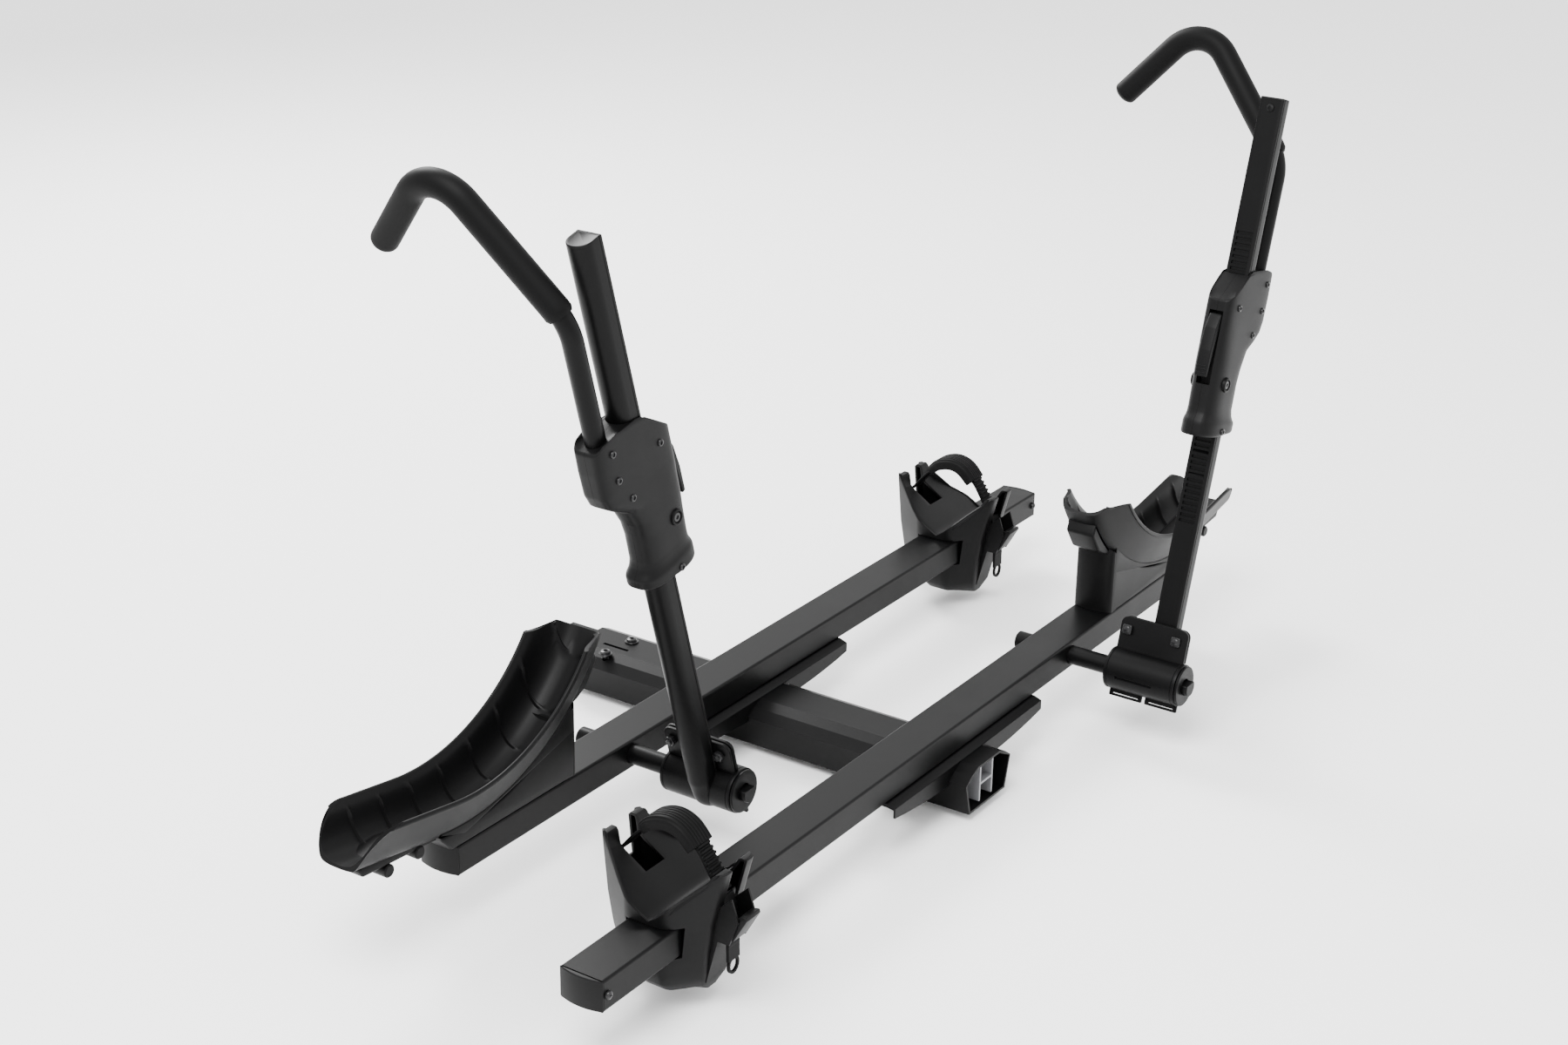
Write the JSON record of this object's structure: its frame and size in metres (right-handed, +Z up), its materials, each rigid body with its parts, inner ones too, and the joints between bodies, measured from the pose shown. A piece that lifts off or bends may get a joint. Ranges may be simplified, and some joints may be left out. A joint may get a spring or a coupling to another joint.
{
  "type": "hitch mounted bike rack",
  "caption": "Platform bike rack that plugs into a hitch receiver: wheel trays with a cup and a strap holder, and fold-down masts whose hooks slide down onto the front wheel.",
  "frame": {"origin": "centre of the flat end face of the hitch insert", "axes": "+X along the wheel trays toward the outer tray's wheel cup, +Y out of the hitch insert toward the vehicle, +Z up"},
  "size_m": [1.5492, 0.825, 0.8826],
  "materials": {
    "powder_coated_steel": "satin black powder coat",
    "black_plastic": "fine grained satin moulding",
    "black_rubber": "matt",
    "black_fastener": "semi gloss black zinc"
  },
  "bodies": {
    "rack": {"spine_tube": "powder_coated_steel", "spine_bulkhead": "powder_coated_steel", "hitch_insert": "powder_coated_steel", "spine_bolt_right": "black_fastener", "spine_bolt_left": "black_fastener", "tray_tube_outer": "powder_coated_steel", "tray_cap_outer": "black_plastic", "tray_cap_screw_outer": "black_fastener", "tray_plug_outer": "black_plastic", "tray_bracket_outer": "powder_coated_steel", "wheel_cup_outer": "black_plastic", "pivot_shaft_outer": "powder_coated_steel", "pivot_washer_outer": "powder_coated_steel", "tray_tube_inner": "powder_coated_steel", "tray_cap_inner": "black_plastic", "tray_cap_screw_inner": "black_fastener", "tray_plug_inner": "black_plastic", "tray_bracket_inner": "powder_coated_steel", "wheel_cup_inner": "black_plastic", "pivot_shaft_inner": "powder_coated_steel", "pivot_washer_inner": "powder_coated_steel"},
    "mast_outer": {"pivot_barrel_outer": "powder_coated_steel", "clamp_plate_outer": "powder_coated_steel", "clamp_bolt_rear_outer": "black_fastener", "clamp_bolt_front_outer": "black_fastener", "mast_tube_outer": "powder_coated_steel", "mast_cap_outer": "black_plastic"},
    "slider_outer": {"housing_front_outer": "black_plastic", "housing_rear_outer": "black_plastic", "hook_tube_outer": "powder_coated_steel", "hook_sleeve_outer": "black_rubber"},
    "lever_outer": {"release_lever_outer": "black_plastic", "pawl_outer": "black_fastener"},
    "lock_outer": {"lock_plug_outer": "black_fastener"},
    "holder_outer": {"wheel_holder_outer": "black_plastic", "buckle_body_outer": "black_plastic"},
    "strap_outer": {"ladder_strap_outer": "black_rubber", "strap_pad_outer": "black_rubber"},
    "tail_outer": {"strap_tail_outer": "black_rubber"},
    "buckle_outer": {"buckle_lever_outer": "black_plastic"},
    "mast_inner": {"pivot_barrel_inner": "powder_coated_steel", "clamp_plate_inner": "powder_coated_steel", "clamp_bolt_rear_inner": "black_fastener", "clamp_bolt_front_inner": "black_fastener", "mast_tube_inner": "powder_coated_steel", "mast_cap_inner": "black_plastic"},
    "slider_inner": {"housing_front_inner": "black_plastic", "housing_rear_inner": "black_plastic", "hook_tube_inner": "powder_coated_steel", "hook_sleeve_inner": "black_rubber"},
    "lever_inner": {"release_lever_inner": "black_plastic", "pawl_inner": "black_fastener"},
    "lock_inner": {"lock_plug_inner": "black_fastener"},
    "holder_inner": {"wheel_holder_inner": "black_plastic", "buckle_body_inner": "black_plastic"},
    "strap_inner": {"ladder_strap_inner": "black_rubber", "strap_pad_inner": "black_rubber"},
    "tail_inner": {"strap_tail_inner": "black_rubber"},
    "buckle_inner": {"buckle_lever_inner": "black_plastic"}
  },
  "joints": [
    {"name": "mast_fold_outer", "type": "hinge", "parent": "rack", "child": "mast_outer", "pos_m": [0.287, -0.761, 0.0545], "axis": [0, 1, 0], "range_deg": [-98, 30]},
    {"name": "hook_slide_outer", "type": "slide", "parent": "mast_outer", "child": "slider_outer", "axis": [0.2857, 0, 0.9583], "range_m": [-0.24, 0.1]},
    {"name": "lever_squeeze_outer", "type": "hinge", "parent": "slider_outer", "child": "lever_outer", "pos_m": [0.39471, -0.771, 0.52431], "axis": [0, 1, 0], "range_deg": [-8, 0], "stiffness_Nm_per_rad": 0.5, "springref_deg": 6.88},
    {"name": "lock_turn_outer", "type": "hinge", "parent": "slider_outer", "child": "lock_outer", "pos_m": [0.39189, -0.78, 0.43958], "axis": [0, 1, 0], "range_deg": [0, 90]},
    {"name": "holder_slide_outer", "type": "slide", "parent": "rack", "child": "holder_outer", "axis": [1, 0, 0], "range_m": [-0.1, 0.25]},
    {"name": "strap_swing_outer", "type": "hinge", "parent": "holder_outer", "child": "strap_outer", "pos_m": [-0.558, -0.542, 0.1185], "axis": [1, 0, 0], "range_deg": [-8, 0]},
    {"name": "tail_feed_outer", "type": "slide", "parent": "holder_outer", "child": "tail_outer", "axis": [0, 0.0987, 0.9951], "range_m": [0, 0.0195]},
    {"name": "buckle_open_outer", "type": "hinge", "parent": "holder_outer", "child": "buckle_outer", "pos_m": [-0.558, -0.692, 0.0565], "axis": [1, 0, 0], "range_deg": [0, 35], "stiffness_Nm_per_rad": 0.04, "springref_deg": -20.05},
    {"name": "mast_fold_inner", "type": "hinge", "parent": "rack", "child": "mast_inner", "pos_m": [-0.287, -0.456, 0.0545], "axis": [0, 1, 0], "range_deg": [-30, 98]},
    {"name": "hook_slide_inner", "type": "slide", "parent": "mast_inner", "child": "slider_inner", "axis": [-0.2857, 0, 0.9583], "range_m": [-0.24, 0.1]},
    {"name": "lever_squeeze_inner", "type": "hinge", "parent": "slider_inner", "child": "lever_inner", "pos_m": [-0.39471, -0.466, 0.52431], "axis": [0, 1, 0], "range_deg": [0, 8], "stiffness_Nm_per_rad": 0.5, "springref_deg": -6.88},
    {"name": "lock_turn_inner", "type": "hinge", "parent": "slider_inner", "child": "lock_inner", "pos_m": [-0.39189, -0.475, 0.43958], "axis": [0, 1, 0], "range_deg": [-90, 0]},
    {"name": "holder_slide_inner", "type": "slide", "parent": "rack", "child": "holder_inner", "axis": [1, 0, 0], "range_m": [-0.25, 0.1]},
    {"name": "strap_swing_inner", "type": "hinge", "parent": "holder_inner", "child": "strap_inner", "pos_m": [0.558, -0.237, 0.1185], "axis": [1, 0, 0], "range_deg": [-8, 0]},
    {"name": "tail_feed_inner", "type": "slide", "parent": "holder_inner", "child": "tail_inner", "axis": [0, 0.0987, 0.9951], "range_m": [0, 0.0195]},
    {"name": "buckle_open_inner", "type": "hinge", "parent": "holder_inner", "child": "buckle_inner", "pos_m": [0.558, -0.387, 0.0565], "axis": [1, 0, 0], "range_deg": [0, 35], "stiffness_Nm_per_rad": 0.04, "springref_deg": -20.05}
  ],
  "couplings": [
    {"joint": "tail_feed_outer", "follows": "strap_swing_outer", "m_per_rad": -0.133},
    {"joint": "tail_feed_inner", "follows": "strap_swing_inner", "m_per_rad": -0.133}
  ]
}
